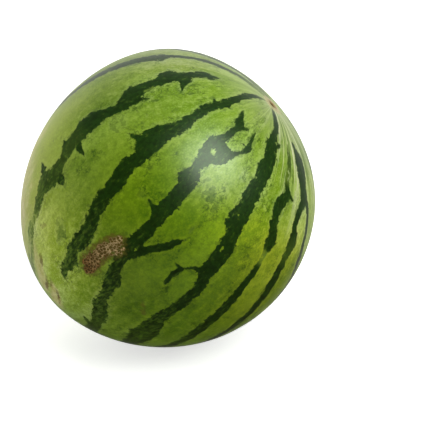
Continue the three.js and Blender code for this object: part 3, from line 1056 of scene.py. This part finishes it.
def level_board(name, height):
    """A wide level square."""
    mesh = bpy.data.meshes.new(name)
    corners = [(-STAGE_REACH, -STAGE_REACH), (STAGE_REACH, -STAGE_REACH),
               (STAGE_REACH, STAGE_REACH), (-STAGE_REACH, STAGE_REACH)]
    mesh.from_pydata([(x, y, height) for x, y in corners], [], [(0, 1, 2, 3)])
    return mesh


def make_floor():
    """The glowing white floor that shows, and a grey one that gives back less light."""
    floor = stage_piece("floor", level_board("floor", 0.0), "#f4f4f4", FLOOR_GLOW, 1.0)
    floor.visible_diffuse = False
    floor.visible_glossy = False
    floor.visible_shadow = False
    underlay = stage_piece("underlay", level_board("underlay", -0.2 * MM), UNDERLAY_TONE, 0, 0)
    underlay.visible_camera = False
    underlay.visible_glossy = False


def make_backdrop():
    """A round white backdrop, which casts no light on the fruit."""
    mesh = bpy.data.meshes.new("backdrop")
    form = bmesh.new()
    bmesh.ops.create_cone(form, cap_ends=False, segments=64, radius1=STAGE_REACH * 0.9,
                          radius2=STAGE_REACH * 0.9, depth=STAGE_REACH)
    form.to_mesh(mesh)
    form.free()
    backdrop = stage_piece("backdrop", mesh, "#f4f4f4", 1.0, 1.0)
    backdrop.visible_diffuse = False
    backdrop.visible_glossy = False
    backdrop.visible_shadow = False


def make_lights(middle):
    """Broad soft lights: the main one to the front right, and one for the sheen alone."""
    for name, direction, size, power, only_sheen in SOFTBOXES:
        toward = Vector(direction).normalized()
        data = bpy.data.lights.new(name, "AREA")
        data.shape = "SQUARE"
        data.size = size
        data.energy = power
        lamp = bpy.data.objects.new(name, data)
        lamp.visible_glossy = only_sheen
        lamp.visible_diffuse = not only_sheen
        lamp.location = middle + SOFTBOX_DISTANCE * toward
        lamp.rotation_euler = toward.to_track_quat("Z", "Y").to_euler()
        bpy.context.scene.collection.objects.link(lamp)


def make_surroundings():
    """A band of white wall behind and at both sides, and a dark room around it."""
    world = bpy.data.worlds.new("studio")
    world.use_nodes = True
    tree = world.node_tree
    tree.nodes.clear()
    way = add(tree, "ShaderNodeTexCoord").outputs["Generated"]
    height = add(tree, "ShaderNodeSeparateXYZ", {"Vector": way}).outputs["Z"]
    backward = add(tree, "ShaderNodeVectorMath", {0: way, 1: WALL_DIRECTION},
                   operation="DOT_PRODUCT").outputs["Value"]
    wall = add(tree, "ShaderNodeMapRange", {
        "Value": backward, "From Min": 0.4, "From Max": 1.1, "To Max": WALL_LIGHT},
        interpolation_type="SMOOTHSTEP")
    top = add(tree, "ShaderNodeMapRange", {
        "Value": height, "From Min": 0.9, "From Max": 0.5}, interpolation_type="SMOOTHSTEP")
    foot = add(tree, "ShaderNodeMapRange", {
        "Value": height, "From Min": -0.85, "From Max": -0.5}, interpolation_type="SMOOTHSTEP")
    band = add(tree, "ShaderNodeMath", {0: top, 1: foot}, operation="MULTIPLY")
    light = add(tree, "ShaderNodeVectorMath", {0: wall, 1: band, 2: ROOM_LIGHT},
                operation="MULTIPLY_ADD")
    glow = add(tree, "ShaderNodeBackground", {"Color": light})
    add(tree, "ShaderNodeOutputWorld", {"Surface": glow})
    bpy.context.scene.world = world


def make_camera(middle):
    """Looks along +Y and down, with the fruit up and to the left of the middle."""
    lift = math.radians(CAMERA_ELEVATION)
    right = Vector((1, 0, 0))
    back = Vector((0, -math.cos(lift), math.sin(lift)))
    up = back.cross(right)
    data = bpy.data.cameras.new("camera")
    data.lens = FOCAL_LENGTH
    data.sensor_width = 36.0
    data.clip_end = 50.0
    camera = bpy.data.objects.new("camera", data)
    camera.location = middle + CAMERA_DISTANCE * back
    aim = middle + AIM_ASIDE * right - AIM_BELOW * up
    level = Matrix((right, up, back)).transposed().to_quaternion()
    turn = (-back).rotation_difference(aim - camera.location)
    camera.rotation_mode = "QUATERNION"
    camera.rotation_quaternion = turn @ level
    bpy.context.scene.collection.objects.link(camera)
    bpy.context.scene.camera = camera


# ---------------------------------------------------------------- putting it together

low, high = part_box("watermelon")
rind = grow("striped_rind", unit_ball(), rind_material())
set_down(rind.data, low, high)
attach(rind, "root")
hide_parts("watermelon")

middle = (Vector(low) + Vector(high)) / 2
make_floor()
make_backdrop()
make_lights(middle)
make_surroundings()
make_camera(middle)
bpy.context.scene.view_settings.view_transform = "Standard"
